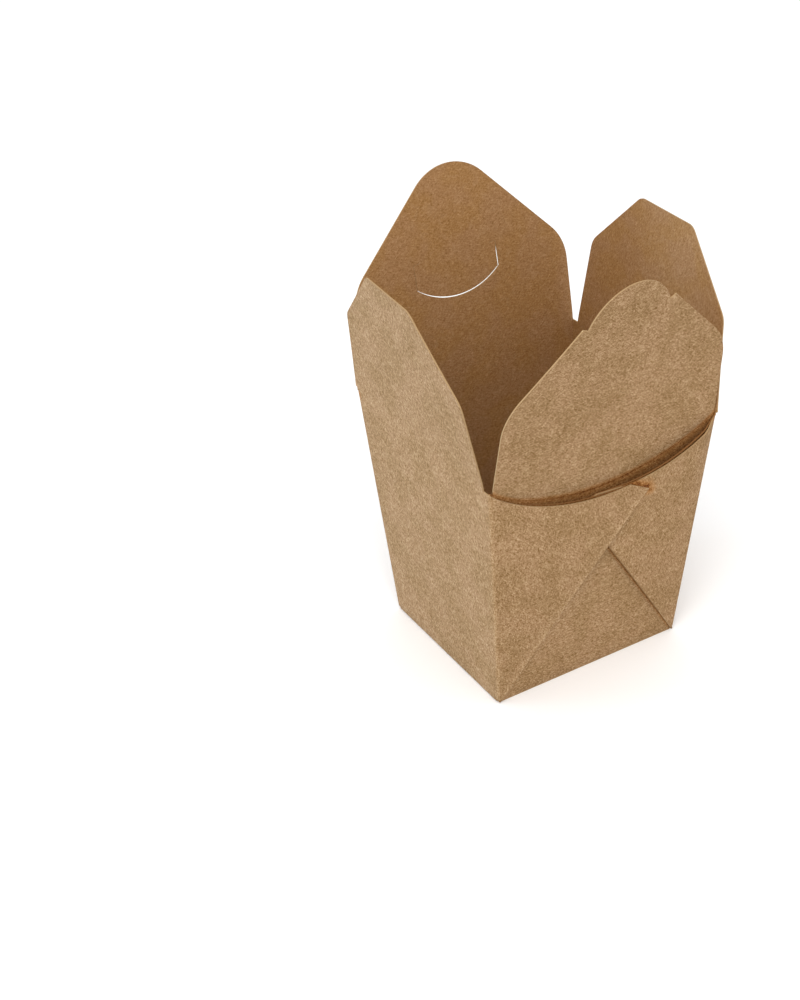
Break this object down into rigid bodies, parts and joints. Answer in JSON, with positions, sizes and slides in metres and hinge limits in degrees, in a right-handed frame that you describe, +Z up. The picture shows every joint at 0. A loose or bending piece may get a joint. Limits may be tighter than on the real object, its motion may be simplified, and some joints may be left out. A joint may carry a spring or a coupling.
{
  "type": "noodle takeaway box",
  "caption": "Tall kraft board food carton that flares towards its open top, with folded corner webs, short dust flaps and long flaps that lock by a tab and a slot.",
  "frame": {"origin": "centre of the bottom face, on the surface that the box stands on", "axes": "+Z up out of the open top, +X towards the gusseted side with the tab flap, -Y towards the front dust flap"},
  "size_m": [0.1172, 0.1193, 0.1741],
  "materials": {
    "kraft_outside": "matte uncoated",
    "kraft_inside": "matte with a thin grease barrier"
  },
  "bodies": {
    "carton": {"carton": "kraft_outside"},
    "dust_flap_front": {"dust_flap_front": "kraft_outside"},
    "tab_flap": {"tab_flap": "kraft_outside"},
    "dust_flap_back": {"dust_flap_back": "kraft_inside"},
    "slot_flap": {"slot_flap": "kraft_inside"}
  },
  "joints": [
    {"name": "dust_fold_front", "type": "hinge", "parent": "carton", "child": "dust_flap_front", "pos_m": [0, -0.04925, 0.1], "axis": [-1, 0, 0], "range_deg": [-75, 109]},
    {"name": "tab_fold", "type": "hinge", "parent": "carton", "child": "tab_flap", "pos_m": [0.04546, 0, 0.1022], "axis": [0, -1, 0], "range_deg": [-40, 98]},
    {"name": "dust_fold_back", "type": "hinge", "parent": "carton", "child": "dust_flap_back", "pos_m": [0, 0.04925, 0.1], "axis": [1, 0, 0], "range_deg": [-75, 103]},
    {"name": "slot_fold", "type": "hinge", "parent": "carton", "child": "slot_flap", "pos_m": [-0.04536, 0, 0.1012], "axis": [0, 1, 0], "range_deg": [-40, 101]}
  ]
}
